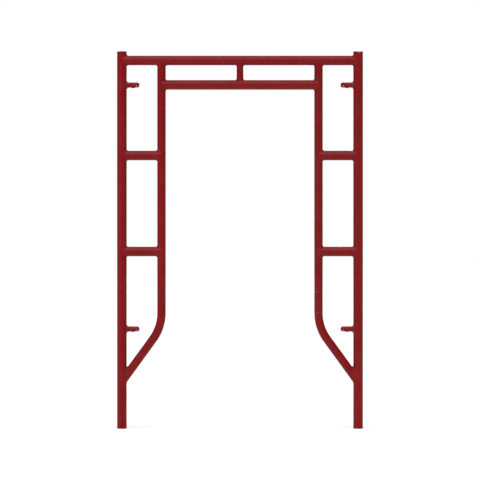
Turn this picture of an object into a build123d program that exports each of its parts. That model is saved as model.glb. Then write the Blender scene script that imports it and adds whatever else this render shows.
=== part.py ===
"""Walk-through frame scaffold section: two legs, an arch of headers and bent inner uprights,
climbing rungs, and four snap-lock studs that hold the cross braces.

Millimetres. X runs across the frame, Y through its thickness and Z up. The origin is on the ground,
midway between the legs. Left is -X. Every stud has its own plane, whose x axis points from the leg's
centre line into the frame and whose y axis points up.
"""

from build123d import *
from math import radians, tan
import os

# --- tubes -------------------------------------------------------------------------------------
leg_od = 48.3
leg_wall = 3.2
header_od = 48.3
header_wall = 2.6
rung_od = 48.3
rung_wall = 2.6
upright_od = 42.4
upright_wall = 2.6
strut_od = 33.7
strut_wall = 2.6

# --- frame layout ------------------------------------------------------------------------------
leg_height = 1885.0
leg_spacing = 1181.0  # between the legs' centre lines
upright_offset = 198.0  # from a leg's centre line to its inner upright's
header_drop = 45.0  # from the leg's top end to the header's centre line
header_gap = 122.0  # between the two headers' centre lines
rung_heights = {"upper": 1365.0, "lower": 885.0}
bend_height = 505.5  # where the upright's straight run and its diagonal would meet
bend_angle = 36.0  # of the diagonal, from the vertical
bend_radius = 220.0  # at the tube's centre line

# --- leg ends ----------------------------------------------------------------------------------
rim_round = 2.2
bore_chamfer = 0.5
button_hole_diameter = 12.0
button_hole_inset = 22.0  # from the leg's end to the hole's centre

# --- brace studs, from the leg's surface to the tip ------------------------------------------------
lower_stud_height = 498.0
stud_spacing = 1219.2  # the height between a leg's two studs, which the cross braces are made for
root_shoulder = 2.05  # by which the stud's root stands out past the seat
root_length = 4.0
seat_diameter = 26.9
seat_length = 16.0
stud_relief = 0.45  # by which the stud's radius is less past the seat
seat_to_slot = 2.0
nose_round = 10.5
nose_length = 13.5  # from the latch's pivot to the tip

# --- the latch in its slot -------------------------------------------------------------------------
pivot_drop = 5.0  # below the stud's centre line
rivet_diameter = 5.0
rivet_play = 0.05  # radial, between the rivet and the latch
latch_thickness = 6.4
latch_side_play = 0.3
latch_reach = 25.0  # from the pivot to the locking face
latch_bite = 3.2  # how far the toe stands out of the stud
toe_width = 5.0
toe_round = 1.5
boss_radius = 6.0
toe_swing = 3.0  # room in front of the locking face, for the toe as it swings in
slot_roof = 6.0  # steel left above the slot
heel_play = 0.05

# --- latch spring --------------------------------------------------------------------------------
spring_from_pivot = 14.0
spring_diameter = 6.0
spring_wire = 0.9
spring_turns = 6
spring_pocket_depth = 3.0
spring_play = 0.3  # radial, between the spring and its pocket
spring_seat_rise = 2.0  # of the latch's spring seat above the pivot
spring_end_gap = 0.05

# --- worked out from the values above ------------------------------------------------------------
leg_radius = leg_od / 2
header_radius = header_od / 2
upright_radius = upright_od / 2
leg_x = leg_spacing / 2
upright_x = leg_x - upright_offset
header_z = leg_height - header_drop
lower_header_z = header_z - header_gap
stud_heights = {"upper": lower_stud_height + stud_spacing, "lower": lower_stud_height}
sides = {"left": -1, "right": 1}

seat_radius = seat_diameter / 2
root_radius = seat_radius + root_shoulder
shank_radius = seat_radius - stud_relief
seat_start = leg_radius + root_length
seat_end = seat_start + seat_length
slot_start = seat_end + seat_to_slot
lock_u = slot_start + toe_swing
pivot_u = lock_u + latch_reach
pivot_v = -pivot_drop
slot_end = pivot_u + boss_radius + heel_play
stud_tip = pivot_u + nose_length
slot_top = shank_radius - slot_roof
spring_u = pivot_u - spring_from_pivot
spring_bottom = pivot_v + spring_seat_rise
spring_top = slot_top + spring_pocket_depth


def save(part, name):
    """Labels a finished piece and writes it as its own STEP file."""
    part.label = name
    export_step(part, f"parts/{name}.step")


def ring(outer_diameter, wall):
    """The cross-section of a round tube, in the sketch being built."""
    Circle(outer_diameter / 2)
    Circle(outer_diameter / 2 - wall, mode=Mode.SUBTRACT)


def cope_round_post(x, radius, z):
    """Cuts a vertical post's outside from the tube being built, so that the tube's end fits round it."""
    with BuildSketch(Plane.XY.offset(z)) as post:
        with Locations((x, 0)):
            Circle(radius)
    extrude(post.sketch, amount=leg_height, both=True, mode=Mode.SUBTRACT)


def cope_round_header(z, radius):
    """Cuts a horizontal tube's outside from the tube being built."""
    with BuildSketch(Plane.YZ) as header_end:
        with Locations((0, z)):
            Circle(radius)
    extrude(header_end.sketch, amount=leg_spacing, both=True, mode=Mode.SUBTRACT)


def leg(side):
    """An open tube with rounded rims and, near each end, a hole in its outer wall for a sprung button."""
    with BuildPart() as tube:
        with BuildSketch(Plane((side * leg_x, 0, 0))):
            ring(leg_od, leg_wall)
        extrude(amount=leg_height)
        rims = tube.edges().filter_by(GeomType.CIRCLE)
        fillet(rims.filter_by(lambda e: e.radius > leg_radius - leg_wall / 2), rim_round)
        chamfer(rims.filter_by(lambda e: e.radius < leg_radius - leg_wall / 2), bore_chamfer)
        with BuildSketch(Plane.YZ.offset(side * leg_x)):
            with Locations((0, button_hole_inset), (0, leg_height - button_hole_inset)):
                Circle(button_hole_diameter / 2)
        extrude(amount=side * leg_od, mode=Mode.SUBTRACT)
    return tube.part


def header():
    """The top tube, coped to both legs."""
    with BuildPart() as tube:
        with BuildSketch(Plane.YZ.offset(-leg_x)):
            with Locations((0, header_z)):
                ring(header_od, header_wall)
        extrude(amount=leg_spacing)
        for side in sides.values():
            cope_round_post(side * leg_x, leg_radius, header_z)
    return tube.part


def lower_header():
    """The tube under the header. Each end laps round half of an inner upright."""
    with BuildPart() as tube:
        with BuildSketch(Plane.YZ.offset(-upright_x)):
            with Locations((0, lower_header_z)):
                ring(header_od, header_wall)
        extrude(amount=2 * upright_x)
        for side in sides.values():
            cope_round_post(side * upright_x, upright_radius, lower_header_z)
    return tube.part


def header_strut():
    """The short post between the two headers, coped to both."""
    with BuildPart() as tube:
        with BuildSketch(Plane.XY.offset(lower_header_z)):
            ring(strut_od, strut_wall)
        extrude(amount=header_gap)
        cope_round_header(header_z, header_radius)
        cope_round_header(lower_header_z, header_radius)
    return tube.part


def inner_upright(side):
    """The bent tube that makes the arch: down from the header, then out to the leg."""
    foot_z = bend_height - upright_offset / tan(radians(bend_angle))
    with BuildPart() as tube:
        with BuildLine() as path:
            FilletPolyline(
                (side * upright_x, 0, header_z),
                (side * upright_x, 0, bend_height),
                (side * leg_x, 0, foot_z),
                radius=bend_radius,
            )
        with BuildSketch(Plane(path.line @ 0, z_dir=path.line % 0)):
            ring(upright_od, upright_wall)
        sweep()
        cope_round_header(header_z, header_radius)
        cope_round_post(side * leg_x, leg_radius, bend_height)
    return tube.part


def rung(side, z):
    """A climbing rung, coped to the leg and lapped round half of the inner upright."""
    with BuildPart() as tube:
        with BuildSketch(Plane.YZ.offset(min(side * leg_x, side * upright_x))):
            with Locations((0, z)):
                ring(rung_od, rung_wall)
        extrude(amount=upright_offset)
        cope_round_post(side * leg_x, leg_radius, z)
        cope_round_post(side * upright_x, upright_radius, z)
    return tube.part


def stud_plane(side, z):
    """The upright plane through a stud's centre line, with u into the frame and v up."""
    return Plane(origin=(side * leg_x, 0, z), x_dir=(-side, 0, 0), z_dir=(0, side, 0))


def brace_stud(side, z):
    """A turned stud with a seat for the brace ends, a slot for the latch and a rounded nose."""
    plane = stud_plane(side, z)
    with BuildPart() as stud:
        with BuildSketch(plane):
            with BuildLine():
                Polyline(
                    (0, 0),
                    (0, root_radius),
                    (seat_start, root_radius),
                    (seat_start, seat_radius),
                    (seat_end, seat_radius),
                    (seat_end + stud_relief, shank_radius),
                    (stud_tip - nose_round, shank_radius),
                )
                RadiusArc(
                    (stud_tip - nose_round, shank_radius),
                    (stud_tip, shank_radius - nose_round),
                    nose_round,
                )
                Polyline((stud_tip, shank_radius - nose_round), (stud_tip, 0), (0, 0))
            make_face()
        revolve(axis=Axis(plane.origin, plane.x_dir))
        cope_round_post(side * leg_x, leg_radius, z)
        with BuildSketch(plane):
            with Locations(((slot_start + slot_end) / 2, slot_top)):
                Rectangle(
                    slot_end - slot_start, 2 * root_radius, align=(Align.CENTER, Align.MAX)
                )
        extrude(amount=latch_thickness / 2 + latch_side_play, both=True, mode=Mode.SUBTRACT)
        with BuildSketch(plane):
            with Locations((pivot_u, pivot_v)):
                Circle(rivet_diameter / 2)
        extrude(amount=root_radius, both=True, mode=Mode.SUBTRACT)
        with BuildSketch(Plane.XY.offset(z + spring_top)):
            with Locations((side * (leg_x - spring_u), 0)):
                Circle(spring_diameter / 2 + spring_play)
        extrude(amount=-2 * root_radius, mode=Mode.SUBTRACT)
    return stud.part


def latch(side, z):
    """The snap latch: a boss round the rivet, a heel that stops it, a ramp and a locking toe."""
    toe_v = -shank_radius - latch_bite
    with BuildPart() as pawl:
        with BuildSketch(stud_plane(side, z)) as outline:
            with BuildLine():
                Polyline(
                    (pivot_u, pivot_v + boss_radius),
                    (pivot_u - boss_radius, spring_bottom),
                    (lock_u, spring_bottom),
                    (lock_u, toe_v),
                    (lock_u + toe_width, toe_v),
                    (pivot_u, pivot_v - boss_radius),
                    (pivot_u + boss_radius, pivot_v - boss_radius),
                    (pivot_u + boss_radius, pivot_v),
                    (pivot_u, pivot_v),
                    (pivot_u, pivot_v + boss_radius),
                )
            make_face()
            fillet(outline.vertices().group_by(Axis.Y)[0], toe_round)
            with Locations((pivot_u, pivot_v)):
                Circle(boss_radius)
                Circle(rivet_diameter / 2 + rivet_play, mode=Mode.SUBTRACT)
        extrude(amount=latch_thickness / 2, both=True)
    return pawl.part


def latch_rivet(side, z):
    """The latch's pivot, peened and dressed flush with the stud's round sides."""
    plane = stud_plane(side, z)
    with BuildPart() as rivet:
        with BuildSketch(plane):
            with Locations((pivot_u, pivot_v)):
                Circle(rivet_diameter / 2)
        extrude(amount=shank_radius, both=True)
        with BuildSketch(Plane(origin=plane.origin, z_dir=plane.x_dir)):
            Circle(shank_radius)
        extrude(amount=stud_tip, mode=Mode.INTERSECT)
    return rivet.part


def latch_spring(side, z):
    """A compression spring from the pocket in the stud down to the latch's spring seat."""
    travel = spring_top - spring_bottom - spring_wire - 2 * spring_end_gap
    start_z = z + spring_bottom + spring_wire / 2 + spring_end_gap
    with BuildPart() as spring:
        with BuildLine() as coil:
            Helix(
                pitch=travel / spring_turns,
                height=travel,
                radius=(spring_diameter - spring_wire) / 2,
                center=(side * (leg_x - spring_u), 0, start_z),
            )
        with BuildSketch(Plane(coil.line @ 0, z_dir=coil.line % 0)):
            Circle(spring_wire / 2)
        sweep(is_frenet=True)
    return spring.part


os.makedirs("parts", exist_ok=True)
save(header(), "header")
save(lower_header(), "lower_header")
save(header_strut(), "header_strut")
for side_name, side in sides.items():
    save(leg(side), f"{side_name}_leg")
    save(inner_upright(side), f"{side_name}_inner_upright")
    for level, z in rung_heights.items():
        save(rung(side, z), f"{side_name}_{level}_rung")
    for level, z in stud_heights.items():
        save(brace_stud(side, z), f"{side_name}_{level}_stud")
        save(latch(side, z), f"{side_name}_{level}_latch")
        save(latch_rivet(side, z), f"{side_name}_{level}_latch_rivet")
        save(latch_spring(side, z), f"{side_name}_{level}_latch_spring")
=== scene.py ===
# %% [markdown]
# # Walk-through scaffold frame
#
# A section of scaffold that people walk through: two legs, a header that carries the planks, an arch of
# bent inner uprights, climbing rungs, and four snap-lock studs for the cross braces. It is welded from
# round steel tube and dipped in red enamel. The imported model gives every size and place. This script gives
# each tube a smooth, dense skin, lays a rippled weld round every joint, winds the latch springs and paints
# everything.

# %% Load the frame
import math
import bmesh
import bpy
import mathutils
import numpy as np
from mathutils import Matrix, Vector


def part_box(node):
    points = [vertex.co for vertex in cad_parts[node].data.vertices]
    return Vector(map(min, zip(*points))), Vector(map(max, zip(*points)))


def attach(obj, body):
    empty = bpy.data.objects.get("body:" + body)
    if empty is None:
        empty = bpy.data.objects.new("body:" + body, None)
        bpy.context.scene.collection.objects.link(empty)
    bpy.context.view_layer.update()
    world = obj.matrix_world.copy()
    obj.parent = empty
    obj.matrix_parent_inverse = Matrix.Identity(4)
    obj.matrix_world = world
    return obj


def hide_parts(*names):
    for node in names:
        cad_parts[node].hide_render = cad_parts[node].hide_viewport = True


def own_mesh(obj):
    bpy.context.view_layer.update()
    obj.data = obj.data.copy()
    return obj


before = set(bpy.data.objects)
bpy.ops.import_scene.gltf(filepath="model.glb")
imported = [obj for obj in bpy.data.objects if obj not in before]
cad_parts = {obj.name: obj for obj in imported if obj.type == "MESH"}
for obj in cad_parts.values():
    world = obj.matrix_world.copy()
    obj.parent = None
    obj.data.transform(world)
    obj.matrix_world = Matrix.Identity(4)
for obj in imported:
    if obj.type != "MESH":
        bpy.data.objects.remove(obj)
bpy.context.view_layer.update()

# %% [markdown]
# ## Sizes
#
# The tubes are standard ones, so their diameters and walls are written here as a fabricator would write
# them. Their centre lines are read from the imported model, so the skins land exactly on the welded frame
# that carries them. The frame is flat: every centre line lies in the plane y = 0, and a point of it needs
# only x and z.

# %% Read the centre lines
MM = 0.001
leg_radius, leg_wall = 24.15 * MM, 3.2 * MM
header_radius, header_wall = 24.15 * MM, 2.6 * MM
rung_radius, rung_wall = 24.15 * MM, 2.6 * MM
upright_radius, upright_wall = 21.2 * MM, 2.6 * MM
strut_radius, strut_wall = 16.85 * MM, 2.6 * MM
sides = {"left": -1, "right": 1}
levels = ("upper", "lower")


def middle(node, axis):
    """Where the middle of a node lies along x (0), y (1) or z (2)."""
    low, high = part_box(node)
    return (low[axis] + high[axis]) / 2


leg_x = (middle("right_leg", 0) - middle("left_leg", 0)) / 2
leg_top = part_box("right_leg")[1][2]
upright_x = (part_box("right_inner_upright")[0][0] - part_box("left_inner_upright")[1][0]) / 2 + upright_radius
header_z = middle("header", 2)
lower_header_z = middle("lower_header", 2)
print("leg", round(leg_x, 4), "upright", round(upright_x, 4))
print("headers", round(header_z, 4), round(lower_header_z, 4))

# %% [markdown]
# ## A tube as a grid
#
# A welded tube is long and thin, with ends cut to a saddle that hugs the tube it meets. A stretched
# cylinder would have flat ends and too few sides, and a boolean cut leaves ragged faces. So each tube is a
# grid of points: rings along its length, outside first and back along the inside, closed like a doughnut.
# An end ring isn't flat. Each of its points slides along the tube until it lies on the neighbour's
# surface, and the next few rings ease that saddle out to a flat ring.

# %% Make a grid into a mesh
def mesh_from_grid(name, grid, inner_rows=(), skip=(), extra_points=(), extra_faces=(), wear=None):
    """A closed mesh from rows of rings. Faces in skip are left out; extra points and faces are added."""
    rows, columns = grid.shape[:2]
    index = np.arange(rows * columns).reshape(rows, columns)
    down, across = np.roll(index, -1, 0), np.roll(index, -1, 1)
    quads = np.stack([index, down, np.roll(across, -1, 0), across], -1)
    keep = np.ones((rows, columns), bool)
    for row, column in skip:
        keep[row % rows, column % columns] = False
    inside = np.zeros((rows, columns), int)
    inside[list(inner_rows)] = 1
    points = grid.reshape(-1, 3).tolist() + [tuple(point) for point in extra_points]
    faces = quads[keep].tolist() + [list(face) for face in extra_faces]
    mesh = bpy.data.meshes.new(name)
    mesh.from_pydata(points, [], faces)
    mesh.polygons.foreach_set("material_index", inside[keep].tolist() + [0] * len(extra_faces))
    attribute = mesh.attributes.new("wear", "FLOAT", "POINT")
    values = np.zeros(len(points))
    if wear is not None:
        values[: rows * columns] = np.asarray(wear, float).reshape(-1)
    attribute.data.foreach_set("value", values)
    if skip:
        tidy = bmesh.new()
        tidy.from_mesh(mesh)
        bmesh.ops.delete(tidy, geom=[v for v in tidy.verts if not v.link_faces], context="VERTS")
        bmesh.ops.recalc_face_normals(tidy, faces=tidy.faces)
        tidy.to_mesh(mesh)
        tidy.free()
    mesh.shade_smooth()
    mesh.set_sharp_from_angle(angle=math.radians(35))
    piece = bpy.data.objects.new(name, mesh)
    bpy.context.scene.collection.objects.link(piece)
    return piece


# %% Find where a tube's surface meets its neighbour
def meet(start, along, ring, run):
    """How far each point of a ring slides along the tube to lie on its neighbour, the run."""
    axis, at, radius, side = run
    target = at + side * np.sqrt(np.maximum(radius**2 - ring[:, 1] ** 2, 0))
    return (target - start[axis] - ring[:, axis]) / along[axis]


def ring_round(along, radius, angles):
    """Points round a centre line whose direction is along, as offsets from it."""
    up = np.array([-along[2], 0, along[0]])
    return radius * (np.cos(angles)[:, None] * up + np.sin(angles)[:, None] * np.array([0, 1.0, 0]))


def unit(vector):
    """The same direction with length 1, for one vector or a list of them."""
    return vector / np.linalg.norm(vector, axis=-1, keepdims=True)


# %% Loft a tube along its centre line
tube_columns = 96
tube_angles = np.arange(tube_columns) * 2 * math.pi / tube_columns
easing = (0.0, 0.03, 0.1, 0.25, 0.5, 0.75, 1.0)
saddle_ease = 1.6  # in tube radii, how far past its saddle an end takes to reach a flat ring
station_gap = 12 * MM
ground_back = (1.4 * MM, 0.3 * MM)  # ground off the first two rings' flanks, under the weld
flank_start = 0.85  # where the flanks begin, as a share of the neighbour's radius


def end_rows(end, inward, radius, run):
    """Rings from the saddle at one end to the first flat ring, and how far in that flat ring is."""
    ring = ring_round(inward, radius, tube_angles)
    slide = meet(end, inward, ring, run)
    flat = slide.max() + saddle_ease * radius
    flank = np.clip((np.abs(ring[:, 1]) / run[2] - flank_start) / (1 - flank_start), 0, 1)
    rows = []
    for e, depth in zip(easing, ground_back + (0,) * len(easing)):
        ground = 1 - flank * depth / radius
        rows.append(end + ring * ground[:, None] + inward * ((1 - e) * slide + e * flat)[:, None])
    return rows, flat


def tube_rows(line, radius, start_run, end_run):
    """Rings from a saddle on start_run, along the line, to a saddle on end_run."""
    first, last = unit(line[1] - line[0]), unit(line[-2] - line[-1])
    start_rows, start_flat = end_rows(line[0], first, radius, start_run)
    finish_rows, finish_flat = end_rows(line[-1], last, radius, end_run)
    finish_rows = [np.roll(row[::-1], tube_columns // 2 + 1, 0) for row in finish_rows]
    steps = np.linalg.norm(np.diff(line, axis=0), axis=1)
    travelled = np.concatenate([[0], np.cumsum(steps)])
    count = max(2, int((travelled[-1] - start_flat - finish_flat) / station_gap))
    rows = list(start_rows)
    for along in np.linspace(start_flat, travelled[-1] - finish_flat, count)[1:-1]:
        here = np.array([np.interp(along, travelled, line[:, axis]) for axis in range(3)])
        ahead = np.array([np.interp(along + MM, travelled, line[:, axis]) for axis in range(3)])
        rows.append(here + ring_round(unit(ahead - here), radius, tube_angles))
    return np.array(rows + finish_rows[::-1])


def tube(name, line, radius, wall, start_run, end_run, rub):
    """A tube with saddle ends. rub(points) says how much each point is rubbed in use, from 0 to 1."""
    line = np.array([[x, 0.0, z] for x, z in line])
    outside = tube_rows(line, radius, start_run, end_run)
    inside = tube_rows(line, radius - wall, start_run, end_run)[::-1]
    grid = np.concatenate([outside, inside])
    inner_rows = range(len(outside), len(grid) - 1)
    piece = mesh_from_grid(name, grid, inner_rows, wear=rub(grid))
    tubes.append(piece)
    return piece


tubes = []

# %% [markdown]
# ## Legs
#
# A leg is an open tube. Its rims are rounded so that a coupling pin slides in without catching. Near each
# end a hole in the outer wall takes the pin's sprung button. A boolean would leave slivers round such a
# hole. Here the grid itself makes it: square loops of points round the hole's centre are pulled into
# circles, the faces inside are left out, and a short bridge of faces lines the hole with a small chamfer.

# %% Shape a leg
leg_columns = 128
leg_angles = np.arange(leg_columns) * 2 * math.pi / leg_columns
rim_round, bore_chamfer = 2.2 * MM, 0.5 * MM
hole_radius, hole_inset, hole_chamfer = 6 * MM, 22 * MM, 0.4 * MM
hole_loop, patch_loop = 5, 9  # which square loops round the hole's centre are the hole's edge and the patch's
grid_step = 2 * math.pi * leg_radius / leg_columns
seam_height, seam_half_width, seam_angle = 0.5 * MM, 0.8 * MM, 0.7  # the weld seam inside a drawn tube
rows_between = 150  # rings between the two patches
row_gap = 5 * MM  # from a patch to the first of those rings
rim_wear_length = 14 * MM  # over which the knocks at a leg's end fade out


def leg_levels(end):
    """Heights of the rings up a leg, close together round the button holes."""
    patch = [hole_inset + k * grid_step for k in range(-patch_loop, patch_loop + 1)]
    near = [rim_round + 3 * MM, rim_round + 6 * MM] + patch
    far = list(np.linspace(patch[-1] + row_gap, end - patch[-1] - row_gap, rows_between))
    return np.array(near + far + [end - z for z in reversed(near)])


def pull_to_circle(row_steps, column_steps, radius, hole):
    """Where a point of the square patch goes, across and up from the hole's centre."""
    loop = max(abs(row_steps), abs(column_steps))
    square = np.array([radius * math.sin(column_steps * 2 * math.pi / leg_columns), row_steps * grid_step])
    turn = math.atan2(row_steps, column_steps)
    circle = (hole + (loop - hole_loop) * grid_step) * np.array([math.cos(turn), math.sin(turn)])
    share = (loop - hole_loop) / (patch_loop - hole_loop)
    return (1 - share) * circle + share * square


def on_leg(x, outer, radius, across, z):
    """A point on the outer side of a leg's surface, across from the hole's centre line."""
    return x + outer * math.sqrt(radius**2 - across**2), -outer * across, z


def loop_round(steps):
    """The grid steps of one square loop, in order round it."""
    up = [(k, steps) for k in range(-steps, steps)]
    left = [(steps, -k) for k in range(-steps, steps)]
    return up + left + [(-r, -c) for r, c in up] + [(-r, -c) for r, c in left]


def leg(name, x, outer):
    """An open tube with rounded rims and two button holes in its outer wall, at -x or x as outer says."""
    levels_up = leg_levels(leg_top)
    low_rim = []
    for turn in (math.radians(15 * k) for k in range(6, -1, -1)):
        low_rim.append((rim_round * (1 - math.sin(turn)), leg_radius - rim_round * (1 - math.cos(turn))))
    inner = leg_radius - leg_wall
    high_rim = [(leg_top - z, r) for z, r in reversed(low_rim)]
    outer_rows = low_rim + [(z, leg_radius) for z in levels_up] + high_rim
    mouth = [(0, inner + bore_chamfer), (bore_chamfer, inner)]
    inner_rows = [(leg_top - z, r) for z, r in mouth] + [(z, inner) for z in levels_up[::-1]] + mouth[::-1]
    profile = outer_rows + inner_rows
    grid = np.array([[(x - r * math.cos(a), r * math.sin(a), z) for a in leg_angles] for z, r in profile])
    seam = np.exp(-(((leg_angles - seam_angle) * inner / seam_half_width) ** 2)) * seam_height
    seam_rows = slice(len(outer_rows) + 1, len(profile) - 1)
    grid[seam_rows, :, 0] += seam * np.cos(leg_angles)
    grid[seam_rows, :, 1] -= seam * np.sin(leg_angles)
    skip, points, faces = [], [], []
    base = grid.shape[0] * leg_columns
    column = 0 if outer < 0 else leg_columns // 2
    loop = loop_round(hole_loop)
    count = len(loop)
    for hole_z in (hole_inset, leg_top - hole_inset):
        level = int(np.argmin(np.abs(levels_up - hole_z)))
        outer_row = len(low_rim) + level
        inner_row = len(profile) - len(mouth) - 1 - level
        for radius, row, step in ((leg_radius, outer_row, 1), (inner, inner_row, -1)):
            hole = hole_radius + hole_chamfer * (step > 0)
            for r in range(-patch_loop, patch_loop + 1):
                for c in range(-patch_loop, patch_loop + 1):
                    if max(abs(r), abs(c)) >= hole_loop:
                        across, rise = pull_to_circle(r, c, radius, hole)
                        moved = on_leg(x, outer, radius, across, hole_z + rise)
                        grid[row + step * r, (column + c) % leg_columns] = moved
            inside_hole = range(-hole_loop, hole_loop)
            skip += [(row + r, column + c) for r in inside_hole for c in inside_hole]
        start = base + len(points)
        for r, c in loop:
            turn = math.atan2(r, c)
            across, rise = hole_radius * math.cos(turn), hole_radius * math.sin(turn)
            points.append(on_leg(x - outer * hole_chamfer, outer, leg_radius, across, hole_z + rise))
        rim = [(outer_row + r) * leg_columns + (column + c) % leg_columns for r, c in loop]
        lip = [start + k for k in range(count)]
        bore = [(inner_row - r) * leg_columns + (column + c) % leg_columns for r, c in loop]
        for near, far in ((rim, lip), (lip, bore)):
            faces += [(near[k], far[k], far[(k + 1) % count], near[(k + 1) % count]) for k in range(count)]
    from_end = np.minimum(grid[:, :, 2], leg_top - grid[:, :, 2])
    bore_rows = range(len(outer_rows) + 1, len(profile) - 2)
    piece = mesh_from_grid(name, grid, bore_rows, skip, points, faces, np.exp(-from_end / rim_wear_length))
    tubes.append(piece)
    return piece


for side, sign in sides.items():
    piece = leg(f"{side}_leg_tube", sign * leg_x, sign)
    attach(piece, "frame")
    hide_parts(f"{side}_leg")
print("leg points", len(piece.data.vertices))

# %% [markdown]
# ## Headers, strut, rungs and uprights
#
# Every other tube is lofted between two neighbours. An end names the neighbour it is cut to: a post, whose
# axis stands at some x, or a beam, whose axis lies at some z, with its radius and the side that the tube
# comes from. The rubbing is what years of use do: plank hooks scrape the top of the header, and boots
# polish the tops of the rungs.

# %% Loft the straight tubes
def post(x, radius, side):
    """A vertical neighbour, met from its left (side -1) or its right (side 1)."""
    return 0, x, radius, side


def beam(z, radius, side):
    """A horizontal neighbour, met from below (side -1) or from above (side 1)."""
    return 2, z, radius, side


def rub_top(strength, z, radius):
    """Rubbing on the upper side of a horizontal tube."""
    return lambda grid: strength * np.clip((grid[:, :, 2] - z) / radius, 0, 1) ** 2


barrow_height, barrow_reach = 620 * MM, 220 * MM


def rub_inside(strength):
    """Rubbing on the walkway side of the uprights, most at barrow height."""

    def rubbed(grid):
        walkway_side = np.abs(grid[:, :, 0]) < upright_x
        return strength * np.exp(-(((grid[:, :, 2] - barrow_height) / barrow_reach) ** 2)) * walkway_side

    return rubbed


def place(piece, node):
    """Lets a piece stand for the node of the same tube."""
    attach(piece, "frame")
    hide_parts(node)


joints = []  # every welded joint, as (name, end point, direction into the tube, tube radius, neighbour)


def join(name, x, z, inward, radius, neighbour):
    """Notes a joint to be welded."""
    joints.append((name, (x, z), inward, radius, neighbour))


place(
    tube(
        "header_tube",
        [(-leg_x, header_z), (leg_x, header_z)],
        header_radius,
        header_wall,
        post(-leg_x, leg_radius, 1),
        post(leg_x, leg_radius, -1),
        rub_top(0.45, header_z, header_radius),
    ),
    "header",
)
place(
    tube(
        "lower_header_tube",
        [(-upright_x, lower_header_z), (upright_x, lower_header_z)],
        header_radius,
        header_wall,
        post(-upright_x, upright_radius, 1),
        post(upright_x, upright_radius, -1),
        rub_top(0.3, lower_header_z, header_radius),
    ),
    "lower_header",
)
place(
    tube(
        "header_strut_tube",
        [(0, lower_header_z), (0, header_z)],
        strut_radius,
        strut_wall,
        beam(lower_header_z, header_radius, 1),
        beam(header_z, header_radius, -1),
        lambda grid: 0 * grid[:, :, 0],
    ),
    "header_strut",
)
for side, sign in sides.items():
    leg_at, upright_at = sign * leg_x, sign * upright_x
    inward = (-sign, 0)
    join(f"{side}_header_weld", leg_at, header_z, inward, header_radius, post(leg_at, leg_radius, -sign))
    upright_inside = post(upright_at, upright_radius, -sign)
    join(f"{side}_lower_header_weld", upright_at, lower_header_z, inward, header_radius, upright_inside)
    for level in levels:
        rung_z = middle(f"{side}_{level}_rung", 2)
        ends = (post(leg_at, leg_radius, -sign), post(upright_at, upright_radius, sign))
        place(
            tube(
                f"{side}_{level}_rung_tube",
                [(leg_at, rung_z), (upright_at, rung_z)],
                rung_radius,
                rung_wall,
                *ends,
                rub_top(0.7, rung_z, rung_radius),
            ),
            f"{side}_{level}_rung",
        )
        join(f"{side}_{level}_rung_leg_weld", leg_at, rung_z, inward, rung_radius, ends[0])
        join(f"{side}_{level}_rung_upright_weld", upright_at, rung_z, (sign, 0), rung_radius, ends[1])
join("strut_top_weld", 0, header_z, (0, -1), strut_radius, beam(header_z, header_radius, -1))
join("strut_foot_weld", 0, lower_header_z, (0, 1), strut_radius, beam(lower_header_z, header_radius, 1))

# %% Bend the inner uprights
bend_angle, bend_radius, bend_z = math.radians(36), 220 * MM, 505.5 * MM
bend_steps = 36


def upright_line(sign):
    """Centre line from the header down, round the bend and out to the leg."""
    tangent = bend_radius * math.tan(bend_angle / 2)
    line = [(sign * upright_x, header_z)]
    for k in range(bend_steps + 1):
        turn = bend_angle * k / bend_steps
        x = upright_x + bend_radius * (1 - math.cos(turn))
        line.append((sign * x, bend_z + tangent - bend_radius * math.sin(turn)))
    line.append((sign * leg_x, bend_z - (leg_x - upright_x) / math.tan(bend_angle)))
    return line


for side, sign in sides.items():
    line = upright_line(sign)
    ends = (beam(header_z, header_radius, -1), post(sign * leg_x, leg_radius, -sign))
    piece = tube(f"{side}_upright_tube", line, upright_radius, upright_wall, *ends, rub_inside(0.5))
    place(piece, f"{side}_inner_upright")
    join(f"{side}_upright_header_weld", *line[0], (0, -1), upright_radius, ends[0])
    inward = (-sign * math.sin(bend_angle), math.cos(bend_angle))
    join(f"{side}_upright_leg_weld", *line[-1], inward, upright_radius, ends[1])
print("tubes", len(tubes), "points", sum(len(piece.data.vertices) for piece in tubes))

# %% [markdown]
# ## Welds
#
# Each joint is closed by a fillet weld, laid in small overlapping puddles that cool into ripples. A plain
# ring round the joint would miss the saddle and look like rubber. So the bead is swept along the true line
# where the two outsides meet. At each step it knows both surfaces, puts one toe on each, and bulges
# between them. Where the tubes meet at a sharp angle the bead grows, as a welder fills such a corner.

# %% Trace the line where two tubes meet
weld_leg, weld_bulge = 4.6 * MM, 0.9 * MM
weld_sink = 0.3 * MM  # how deep the bead's toes sit under both surfaces
weld_dressing = 0.6 * MM
ripple_pitch, ripples_steps = 2.3 * MM, 6
ripple_lag = 0.55  # how far each puddle's middle trails its toes, in pitches
ripple_depth, toe_ripple = 0.35 * MM, 0.07  # at the bead's middle, and at its toes as a share of its reach
profile_steps = 7
trace_steps = 2880  # points on the first, finest trace of a joint


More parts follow.
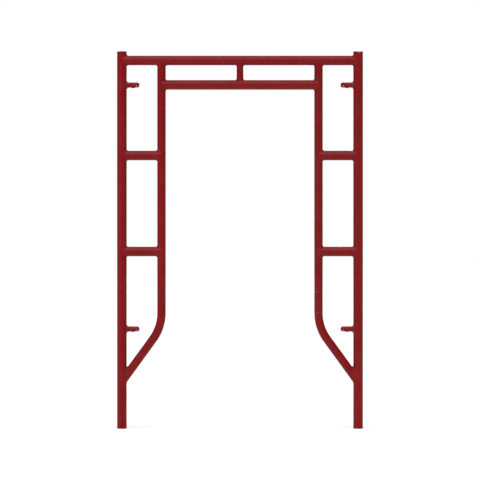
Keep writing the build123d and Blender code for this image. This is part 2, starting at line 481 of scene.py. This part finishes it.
def joint_line(end, inward, radius, run):
    """Points round a joint on the neighbour and on the tube, with both surfaces' outward directions."""
    axis, at, run_radius, side = run
    start = np.array([end[0], 0.0, end[1]])
    along = np.array([inward[0], 0.0, inward[1]])
    angles = np.arange(trace_steps) * 2 * math.pi / trace_steps
    ring = ring_round(along, radius, angles)
    on_tube = start + ring + along * meet(start, along, ring, run)[:, None]
    on_run = on_tube.copy()
    on_run[:, 1] = np.clip(on_run[:, 1], -run_radius, run_radius)
    from_axis = on_run.copy()
    from_axis[:, axis] -= at
    from_axis[:, 2 - axis] = 0
    lengths = np.linalg.norm(np.roll(on_run, -1, 0) - on_run, axis=1)
    travelled = np.concatenate([[0], np.cumsum(lengths)])
    count = int(travelled[-1] / ripple_pitch) * ripples_steps
    places = np.linspace(0, travelled[-1], count + 1)[:-1]

    def pick(values):
        closed = np.concatenate([values, values[:1]])
        return np.array([np.interp(places, travelled, closed[:, k]) for k in range(3)]).T

    return pick(on_run), pick(on_tube), unit(pick(from_axis)), unit(pick(ring)), along, places


def smooth_round(vectors):
    """Directions averaged along a closed line, so that a bead turns its corners without folding."""
    spread = range(-ripples_steps, ripples_steps + 1)
    shares = [1 + math.cos(math.pi * k / (ripples_steps + 1)) for k in spread]
    return unit(sum(np.roll(vectors, k, 0) * share for k, share in zip(spread, shares)))


def hold_within(y, limit):
    """Presses whatever nears the frame's front or back face gently below it, as if dressed with a grinder."""
    start = limit - weld_dressing
    over = np.maximum(np.abs(y) - start, 0)
    return np.sign(y) * (np.minimum(np.abs(y), start) + weld_dressing * (1 - np.exp(-over / weld_dressing)))


# %% Lay a rippled bead along it
def weld(name, end, inward, radius, run, seed):
    """A closed bead round one joint."""
    on_run, on_tube, run_out, tube_out, along, places = joint_line(end, inward, radius, run)
    axis, at, run_radius, side = run
    course = unit(np.roll(on_run, -1, 0) - np.roll(on_run, 1, 0))
    across_run, across_tube = np.cross(course, run_out), np.cross(course, tube_out)
    away = tube_out - 0.5 * along
    across_run *= np.sign(np.sum(across_run * away, 1))[:, None]
    across_tube *= np.sign(np.sum(across_tube * along, 1))[:, None]
    across_run, across_tube = smooth_round(across_run), smooth_round(across_tube)
    opening = np.arccos(np.clip(np.sum(across_run * across_tube, 1), -1, 1))
    reach = weld_leg / np.clip(math.sqrt(2) * np.sin(opening / 2), 0.5, 1.2)
    dice = np.random.default_rng(seed)
    turns = 2 * math.pi * places / places[-1]
    wander = sum(dice.uniform(0.02, 0.05) * np.cos(k * turns + dice.uniform(0, 6)) for k in (2, 3, 5, 7))
    reach = reach * (1 + wander)
    outward = smooth_round(run_out + tube_out)
    ripples = round(places[-1] / ripple_pitch)
    rows = []
    for k in range(profile_steps):
        share = k / (profile_steps - 1)
        middle_share = 4 * share * (1 - share)
        phase = ripples * places / places[-1] + ripple_lag * middle_share
        puddle = np.abs(np.sin(math.pi * phase)) ** 0.7
        toe_reach = (reach * (1 - toe_ripple + toe_ripple * puddle))[:, None]
        toe_run = on_run + across_run * toe_reach
        toe_tube = on_tube + across_tube * toe_reach
        off_axis = toe_run.copy()
        off_axis[:, axis] -= at
        off_axis[:, 2 - axis] = 0
        toe_run += off_axis * ((run_radius - weld_sink) / np.linalg.norm(off_axis, axis=1) - 1)[:, None]
        start = np.array([end[0], 0.0, end[1]])
        off_tube = toe_tube - start
        off_tube -= np.outer(off_tube @ along, along)
        toe_tube += off_tube * ((radius - weld_sink) / np.linalg.norm(off_tube, axis=1) - 1)[:, None]
        rise = middle_share * (weld_bulge + ripple_depth * (puddle - 0.6))
        rows.append((1 - share) * toe_run + share * toe_tube + outward * rise[:, None])
    rows.append(on_run - outward * MM)
    grid = np.array(rows)
    grid[:, :, 1] = hold_within(grid[:, :, 1], leg_radius)
    piece = mesh_from_grid(name, grid, wear=np.zeros(grid.shape[:2]) + 0.15)
    tidy = bmesh.new()
    tidy.from_mesh(piece.data)
    bmesh.ops.recalc_face_normals(tidy, faces=tidy.faces)
    tidy.to_mesh(piece.data)
    tidy.free()
    piece.data.shade_smooth()
    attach(piece, "frame")
    welds.append(piece)


welds = []
stud_root = 15.5 * MM
for side, sign in sides.items():
    for level in levels:
        stud_z = middle(f"{side}_{level}_stud", 2)
        neighbour = post(sign * leg_x, leg_radius, -sign)
        join(f"{side}_{level}_stud_weld", sign * leg_x, stud_z, (-sign, 0), stud_root, neighbour)
for seed, joint in enumerate(joints):
    weld(*joint, seed)
print("welds", len(welds), "points", sum(len(piece.data.vertices) for piece in welds))

# %% [markdown]
# ## Latch springs
#
# A small coil spring sits between each stud and its latch. A real one has closed ends: its last turn at
# each end lies flat. The pitch here shrinks to one wire at both ends. It can't follow the latch's swing as
# a rigid piece; here it is fixed to the frame and keeps its wound length.

# %% Wind the springs
wire, coil_turns, wire_sides, steps_per_turn = 0.45 * MM, 7.0, 12, 28  # wire is the wire's radius
closed = 0.9  # turns that lie flat at each end


def spring(name, low, high):
    """A compression spring with closed ends between two corners of a box."""
    middle_x, middle_y = (low[0] + high[0]) / 2, (low[1] + high[1]) / 2
    radius = (high[0] - low[0]) / 2 - wire
    turns = np.linspace(0, coil_turns, int(coil_turns * steps_per_turn))
    free = high[2] - low[2] - 2 * wire - 2 * closed * 2 * wire
    open_turns = coil_turns - 2 * closed
    rise = 2 * wire * np.clip(turns, 0, closed) + free / open_turns * np.clip(turns - closed, 0, open_turns)
    rise += 2 * wire * np.clip(turns - closed - open_turns, 0, closed)
    angle = turns * 2 * math.pi
    outward = np.stack([np.cos(angle), np.sin(angle), 0 * angle], 1)
    centre = np.array([middle_x, middle_y, low[2] + wire]) + radius * outward
    centre[:, 2] += rise
    course = unit(np.gradient(centre, axis=0))
    side_way = np.cross(course, outward)
    rings = []
    for k in range(wire_sides):
        t = 2 * math.pi * k / wire_sides
        rings.append(centre + wire * (math.cos(t) * outward + math.sin(t) * side_way))
    grid = np.array(rings).transpose(1, 0, 2)
    count, around = grid.shape[:2]
    index = np.arange(count * around).reshape(count, around)
    across = np.roll(index, -1, 1)
    faces = np.stack([index[:-1], across[:-1], across[1:], index[1:]], -1).reshape(-1, 4).tolist()
    faces += [index[0][::-1].tolist(), index[-1].tolist()]
    mesh = bpy.data.meshes.new(name)
    mesh.from_pydata(grid.reshape(-1, 3).tolist(), [], faces)
    mesh.shade_smooth()
    mesh.set_sharp_from_angle(angle=math.radians(60))
    piece = bpy.data.objects.new(name, mesh)
    bpy.context.scene.collection.objects.link(piece)
    return piece


springs = []
for side in sides:
    for level in levels:
        node = f"{side}_{level}_latch_spring"
        low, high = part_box(node)
        piece = spring(f"{side}_{level}_latch_coil", low, high)
        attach(piece, "frame")
        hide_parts(node)
        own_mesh(piece)
        springs.append(piece)
print("springs", len(springs))

# %% [markdown]
# ## Finishes
#
# The enamel is one colour, but it isn't flat. It has a faint orange peel, drifts a little in shade where
# it was brushed over, wears through to steel at rims and rubbed places, and gathers dust on top. Each of
# these effects is a node group with its own sockets, so every finish below mixes them in its own amounts.

# %% Helpers for node groups
def new_group(name, inputs, outputs):
    """An empty node group. inputs holds (name, kind, default), and outputs holds (name, kind)."""
    group = bpy.data.node_groups.new(name, "ShaderNodeTree")
    for label, kind, value in inputs:
        socket = group.interface.new_socket(label, in_out="INPUT", socket_type=f"NodeSocket{kind}")
        socket.default_value = value
    for label, kind in outputs:
        group.interface.new_socket(label, in_out="OUTPUT", socket_type=f"NodeSocket{kind}")
    return group, group.nodes.new("NodeGroupInput"), group.nodes.new("NodeGroupOutput")


def node(tree, kind, values=(), **settings):
    """A node with its settings, and with numbers or links put into its inputs."""
    made = tree.nodes.new(f"ShaderNode{kind}")
    for label, value in settings.items():
        setattr(made, label, value)
    for label, value in dict(values).items():
        if isinstance(value, bpy.types.NodeSocket):
            tree.links.new(value, made.inputs[label])
        else:
            made.inputs[label].default_value = value
    return made


def sums(tree, operation, first, second, clamp=False):
    """One arithmetic step."""
    return node(tree, "Math", {0: first, 1: second}, operation=operation, use_clamp=clamp).outputs[0]


def between(tree, value, low, high):
    """0 below low, 1 above high, and smooth between them."""
    values = {"Value": value, "From Min": low, "From Max": high}
    return node(tree, "MapRange", values, interpolation_type="SMOOTHSTEP").outputs["Result"]


def mix_colour(tree, share, first, second):
    """A blend of two colours."""
    return node(tree, "Mix", {0: share, 6: first, 7: second}, data_type="RGBA").outputs[2]


def mix_value(tree, share, first, second):
    """A blend of two numbers."""
    return node(tree, "Mix", {0: share, 2: first, 3: second}, data_type="FLOAT").outputs[0]


def noise(tree, scale, detail=3.0, roughness=0.5, stretch=None):
    """Solid noise in the object's own space, in waves per metre. stretch pulls it along an axis."""
    place_in = node(tree, "TexCoord").outputs["Object"]
    if stretch:
        place_in = node(tree, "Mapping", {"Vector": place_in, "Scale": stretch}).outputs["Vector"]
    values = {"Vector": place_in, "Scale": scale, "Detail": detail, "Roughness": roughness}
    return node(tree, "TexNoise", values).outputs["Fac"]


# %% Paint film
paint_film, given, out = new_group(
    "Paint film",
    [
        ("Colour", "Color", (0.2, 0.01, 0.01, 1)),
        ("Drift", "Float", 0.1),
        ("Gloss", "Float", 0.35),
        ("Peel", "Float", 1.0),
    ],
    [("Colour", "Color"), ("Roughness", "Float"), ("Height", "Float")],
)
cloud = noise(paint_film, 9.0, 4.0, 0.6)
brushed = noise(paint_film, 38.0, 3.0, 0.55)
shade = mix_value(paint_film, 0.35, cloud, brushed)
values = {"Color": given.outputs["Colour"], "Value": 0.8, "Saturation": 1.03}
darker = node(paint_film, "HueSaturation", values).outputs[0]
share = sums(paint_film, "MULTIPLY", between(paint_film, shade, 0.4, 0.62), given.outputs["Drift"])
paint_film.links.new(mix_colour(paint_film, share, given.outputs["Colour"], darker), out.inputs["Colour"])
smear = between(paint_film, noise(paint_film, 21.0, 5.0, 0.65), 0.35, 0.7)
rough = sums(paint_film, "ADD", given.outputs["Gloss"], sums(paint_film, "MULTIPLY", smear, 0.12))
paint_film.links.new(rough, out.inputs["Roughness"])
peel = sums(paint_film, "MULTIPLY", noise(paint_film, 420.0, 2.0, 0.5), given.outputs["Peel"])
runs = sums(paint_film, "MULTIPLY", noise(paint_film, 60.0, 2.0, 0.5), 1.6)
paint_film.links.new(sums(paint_film, "ADD", peel, runs), out.inputs["Height"])

# %% Edge wear
edge_wear, given, out = new_group(
    "Edge wear",
    [
        ("Rubbed", "Float", 0.0),
        ("Edges", "Float", 1.0),
        ("Chip size", "Float", 160.0),
        ("Chips", "Float", 0.5),
    ],
    [("Bare", "Float"), ("Stain", "Float")],
)
normal = node(edge_wear, "NewGeometry").outputs["Normal"]
rounded = node(edge_wear, "Bevel", {"Radius": 0.9 * MM}, samples=6).outputs["Normal"]
bend = node(edge_wear, "VectorMath", {0: normal, 1: rounded}, operation="DOT_PRODUCT").outputs["Value"]
edges = between(edge_wear, sums(edge_wear, "SUBTRACT", 1.0, bend), 0.01, 0.12)
place_in = node(edge_wear, "TexCoord").outputs["Object"]
values = {"Vector": place_in, "Scale": given.outputs["Chip size"], "Detail": 6.0, "Roughness": 0.62}
chip_noise = node(edge_wear, "TexNoise", values).outputs["Fac"]
exposure = sums(edge_wear, "MULTIPLY", edges, given.outputs["Edges"])
exposure = sums(edge_wear, "ADD", exposure, given.outputs["Rubbed"])
patches = between(edge_wear, noise(edge_wear, 24.0, 3.0, 0.6), 0.42, 0.68)
exposure = sums(edge_wear, "MULTIPLY", exposure, sums(edge_wear, "ADD", 0.45, patches))
level_in = sums(edge_wear, "ADD", chip_noise, sums(edge_wear, "MULTIPLY", exposure, 0.3))
limit = sums(edge_wear, "SUBTRACT", 0.9, sums(edge_wear, "MULTIPLY", given.outputs["Chips"], 0.25))
over = sums(edge_wear, "SUBTRACT", level_in, limit)
edge_wear.links.new(between(edge_wear, over, 0.0, 0.015), out.inputs["Bare"])
edge_wear.links.new(between(edge_wear, over, -0.035, 0.01), out.inputs["Stain"])

# %% Settled dust
dust, given, out = new_group("Settled dust", [("Amount", "Float", 0.3)], [("Cover", "Float")])
upward = node(dust, "SeparateXYZ", {"Vector": node(dust, "NewGeometry").outputs["Normal"]}).outputs["Z"]
lying = between(dust, upward, 0.25, 0.95)
powder = between(dust, noise(dust, 90.0, 6.0, 0.7), 0.35, 0.75)
film = sums(dust, "MULTIPLY", between(dust, noise(dust, 14.0, 3.0, 0.6), 0.35, 0.7), 0.25)
cover = sums(dust, "ADD", sums(dust, "MULTIPLY", lying, powder), film)
dust.links.new(sums(dust, "MULTIPLY", cover, given.outputs["Amount"], clamp=True), out.inputs["Cover"])

# %% Scuffs and scratches
outputs = [("Marks", "Float"), ("Height", "Float")]
scuffs, given, out = new_group("Scuffs", [("Amount", "Float", 0.3)], outputs)
long_way = noise(scuffs, 30.0, 2.0, 0.5, (40.0, 40.0, 1.5))
cross_way = noise(scuffs, 30.0, 2.0, 0.5, (1.5, 40.0, 40.0))
fine = sums(scuffs, "MAXIMUM", between(scuffs, long_way, 0.72, 0.76), between(scuffs, cross_way, 0.72, 0.76))
where = between(scuffs, noise(scuffs, 11.0, 2.0, 0.5), 0.5, 0.62)
marks = sums(scuffs, "MULTIPLY", sums(scuffs, "MULTIPLY", fine, where), given.outputs["Amount"])
scuffs.links.new(marks, out.inputs["Marks"])
scuffs.links.new(sums(scuffs, "MULTIPLY", marks, -1.0), out.inputs["Height"])

# %% Bare steel
bare_steel, given, out = new_group(
    "Bare steel",
    [("Rust", "Float", 0.3), ("Grain", "Float", 300.0)],
    [("Colour", "Color"), ("Roughness", "Float"), ("Metal", "Float"), ("Height", "Float")],
)
place_in = node(bare_steel, "TexCoord").outputs["Object"]
values = {"Vector": place_in, "Scale": given.outputs["Grain"], "Detail": 5.0}
grain = node(bare_steel, "TexNoise", values).outputs["Fac"]
blotch = noise(bare_steel, 70.0, 5.0, 0.65)
steel = mix_colour(bare_steel, grain, (0.32, 0.31, 0.3, 1), (0.52, 0.51, 0.5, 1))
orange = mix_colour(bare_steel, grain, (0.09, 0.028, 0.012, 1), (0.22, 0.075, 0.025, 1))
spots = between(bare_steel, blotch, 0.42, 0.62)
rusted = sums(bare_steel, "MULTIPLY", spots, given.outputs["Rust"], clamp=True)
bare_steel.links.new(mix_colour(bare_steel, rusted, steel, orange), out.inputs["Colour"])
bare_steel.links.new(mix_value(bare_steel, rusted, 0.34, 0.85), out.inputs["Roughness"])
bare_steel.links.new(sums(bare_steel, "SUBTRACT", 1.0, rusted), out.inputs["Metal"])
bare_steel.links.new(sums(bare_steel, "ADD", grain, rusted), out.inputs["Height"])
print("node groups", [group.name for group in bpy.data.node_groups])


# %% Place a group in a material
def use(tree, group, **values):
    """A copy of a node group in a material, with its own values. Underscores in names stand for spaces."""
    placed = tree.nodes.new("ShaderNodeGroup")
    placed.node_tree = group
    for label, value in values.items():
        label = label.replace("_", " ")
        if isinstance(value, bpy.types.NodeSocket):
            tree.links.new(value, placed.inputs[label])
        else:
            placed.inputs[label].default_value = value
    return placed


def blank(name):
    """A new material: its node tree and its Principled BSDF."""
    material = bpy.data.materials.new(name)
    material.use_nodes = True
    tree = material.node_tree
    return material, tree, tree.nodes["Principled BSDF"]


# %% Red enamel
enamel_red = (0.178, 0.0008, 0.0022, 1)
dust_grey = (0.42, 0.38, 0.34, 1)
stain_brown = (0.06, 0.012, 0.008, 1)
scuff_red = (0.27, 0.02, 0.022, 1)


def enamel(name, gloss=0.34, peel=0.5, edges=1.0, chips=0.4, chip_size=160.0, dusty=0.03, scuffed=0.3):
    """Red paint over steel, worn in its own amounts."""
    material, tree, shader = blank(name)
    film = use(tree, paint_film, Colour=enamel_red, Drift=0.6, Gloss=gloss, Peel=peel)
    rubbed = node(tree, "Attribute", attribute_name="wear").outputs["Fac"]
    worn = use(tree, edge_wear, Rubbed=rubbed, Edges=edges, Chip_size=chip_size, Chips=chips)
    metal = use(tree, bare_steel, Rust=0.35, Grain=900.0)
    marks = use(tree, scuffs, Amount=scuffed)
    settled = use(tree, dust, Amount=dusty)
    colour = mix_colour(tree, marks.outputs["Marks"], film.outputs["Colour"], scuff_red)
    colour = mix_colour(tree, sums(tree, "MULTIPLY", worn.outputs["Stain"], 0.8), colour, stain_brown)
    colour = mix_colour(tree, worn.outputs["Bare"], colour, metal.outputs["Colour"])
    colour = mix_colour(tree, settled.outputs["Cover"], colour, dust_grey)
    rough = sums(tree, "ADD", film.outputs["Roughness"], sums(tree, "MULTIPLY", marks.outputs["Marks"], 0.3))
    rough = mix_value(tree, worn.outputs["Bare"], rough, metal.outputs["Roughness"])
    rough = mix_value(tree, settled.outputs["Cover"], rough, 0.9)
    clean = sums(tree, "SUBTRACT", 1.0, settled.outputs["Cover"])
    metallic = sums(tree, "MULTIPLY", worn.outputs["Bare"], metal.outputs["Metal"])
    metallic = sums(tree, "MULTIPLY", metallic, clean)
    height = sums(tree, "SUBTRACT", film.outputs["Height"], sums(tree, "MULTIPLY", worn.outputs["Bare"], 2.5))
    height = sums(tree, "ADD", height, marks.outputs["Height"])
    bump = node(tree, "Bump", {"Strength": 0.35, "Distance": 0.12 * MM, "Height": height})
    tree.links.new(colour, shader.inputs["Base Color"])
    tree.links.new(rough, shader.inputs["Roughness"])
    tree.links.new(metallic, shader.inputs["Metallic"])
    tree.links.new(bump.outputs["Normal"], shader.inputs["Normal"])
    shader.inputs["Specular IOR Level"].default_value = 0.16
    return material


tube_enamel = enamel("Red enamel on tube")
weld_enamel = enamel("Red enamel on welds", 0.3, peel=0.3, edges=0.35, chips=0.25, dusty=0.06, scuffed=0.1)
stud_enamel = enamel("Red enamel on studs", edges=1.0, chips=0.55, chip_size=420.0, dusty=0.035, scuffed=0.45)
latch_enamel = enamel("Red enamel on latches", edges=1.3, chips=0.7, chip_size=520.0, dusty=0.03, scuffed=0.5)
rivet_enamel = enamel("Worn enamel on rivets", chips=1.9, chip_size=420.0, dusty=0.0, scuffed=0.5)


# %% Steel inside the tubes and on the springs
def raw_steel(name, rust, darkness, grain):
    """Unpainted steel."""
    material, tree, shader = blank(name)
    metal = use(tree, bare_steel, Rust=rust, Grain=grain)
    colour = mix_colour(tree, darkness, metal.outputs["Colour"], (0.035, 0.03, 0.028, 1))
    bump = node(tree, "Bump", {"Strength": 0.4, "Distance": 0.08 * MM, "Height": metal.outputs["Height"]})
    tree.links.new(colour, shader.inputs["Base Color"])
    tree.links.new(metal.outputs["Roughness"], shader.inputs["Roughness"])
    tree.links.new(metal.outputs["Metal"], shader.inputs["Metallic"])
    tree.links.new(bump.outputs["Normal"], shader.inputs["Normal"])
    return material


bore_steel = raw_steel("Scaled steel in the bores", rust=0.8, darkness=0.45, grain=500.0)
spring_steel = raw_steel("Oiled spring wire", rust=0.15, darkness=0.1, grain=2500.0)

# %% Paint every piece
for piece in tubes:
    piece.data.materials.append(tube_enamel)
    piece.data.materials.append(bore_steel)
for piece in welds:
    piece.data.materials.append(weld_enamel)
for piece in springs:
    piece.data.materials.append(spring_steel)
for side in sides:
    for level in levels:
        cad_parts[f"{side}_{level}_stud"].material_slots[0].material = stud_enamel
        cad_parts[f"{side}_{level}_latch_rivet"].material_slots[0].material = rivet_enamel
        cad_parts[f"{side}_{level}_latch"].material_slots[0].material = latch_enamel
print("materials", [material.name for material in bpy.data.materials if material.users])

# %% [markdown]
# ## Studio
#
# A pale floor, a pale surround and soft light. The surround is white to the eye but dimmer to the enamel,
# and darker low down than overhead, so that each tube keeps a darker edge and reads as round.

# %% Floor
floor_mesh = bpy.data.meshes.new("floor")
floor_half = 60.0
corners = [(floor_half * x, floor_half * y, 0) for x, y in ((-1, -1), (1, -1), (1, 1), (-1, 1))]
floor_mesh.from_pydata(corners, [], [(0, 1, 2, 3)])
floor = bpy.data.objects.new("floor", floor_mesh)
bpy.context.scene.collection.objects.link(floor)
floor_finish, tree, shader = blank("Pale floor")
speckle = noise(tree, 3.0, 2.0, 0.5)
pale = mix_colour(tree, speckle, (0.96, 0.96, 0.96, 1), (0.985, 0.985, 0.985, 1))
tree.links.new(pale, shader.inputs["Base Color"])
shader.inputs["Roughness"].default_value = 0.9
shader.inputs["Specular IOR Level"].default_value = 0.1
floor_mesh.materials.append(floor_finish)

# %% Surround and lights
world = bpy.data.worlds.new("Surround")
bpy.context.scene.world = world
world.use_nodes = True
tree = world.node_tree
background = tree.nodes["Background"]
height_seen = node(tree, "SeparateXYZ", {"Vector": node(tree, "TexCoord").outputs["Generated"]}).outputs["Z"]
dome = mix_value(tree, between(tree, height_seen, 0.0, 0.9), 0.1, 0.5)
strength = mix_value(tree, node(tree, "LightPath").outputs["Is Camera Ray"], dome, 1.0)
background.inputs["Color"].default_value = (1, 1, 1, 1)
tree.links.new(strength, background.inputs["Strength"])


def aim(light, source, target):
    """Puts a light at source, facing target."""
    direction = np.array(target, float) - np.array(source, float)
    light.location = source
    light.rotation_euler = mathutils.Vector(direction).to_track_quat("-Z", "Y").to_euler()


for name, energy, source in (("key_sun", 2.5, (-0.7, -3.0, 4.2)), ("back_fill", 0.55, (1.0, 3.0, 3.2))):
    sun = bpy.data.objects.new(name, bpy.data.lights.new(name, "SUN"))
    sun.data.energy, sun.data.angle = energy, math.radians(70)
    aim(sun, source, (0, 0, 0))
    bpy.context.scene.collection.objects.link(sun)
for name, x, energy in (("left_strip", -3.2, 14.0), ("right_strip", 3.4, 10.0)):
    lamp = bpy.data.lights.new(name, "AREA")
    lamp.shape, lamp.size, lamp.size_y, lamp.energy = "RECTANGLE", 0.7, 2.6, energy
    strip = bpy.data.objects.new(name, lamp)
    aim(strip, (x, -2.4, 1.3), (0, 0, 0.95))
    bpy.context.scene.collection.objects.link(strip)

# %% Camera
view_width = 2.4  # metres across at the frame
camera_distance = 14.0
eye_height = leg_top / 2
lens = bpy.data.cameras.new("camera")
lens.lens = lens.sensor_width * camera_distance / view_width
camera = bpy.data.objects.new("camera", lens)
camera.location = (0, -camera_distance, eye_height)
camera.rotation_euler = (math.radians(90), 0, 0)
bpy.context.scene.collection.objects.link(camera)
bpy.context.scene.camera = camera
bpy.context.scene.view_settings.view_transform = "Standard"
print("lens", round(lens.lens, 1), "mm")
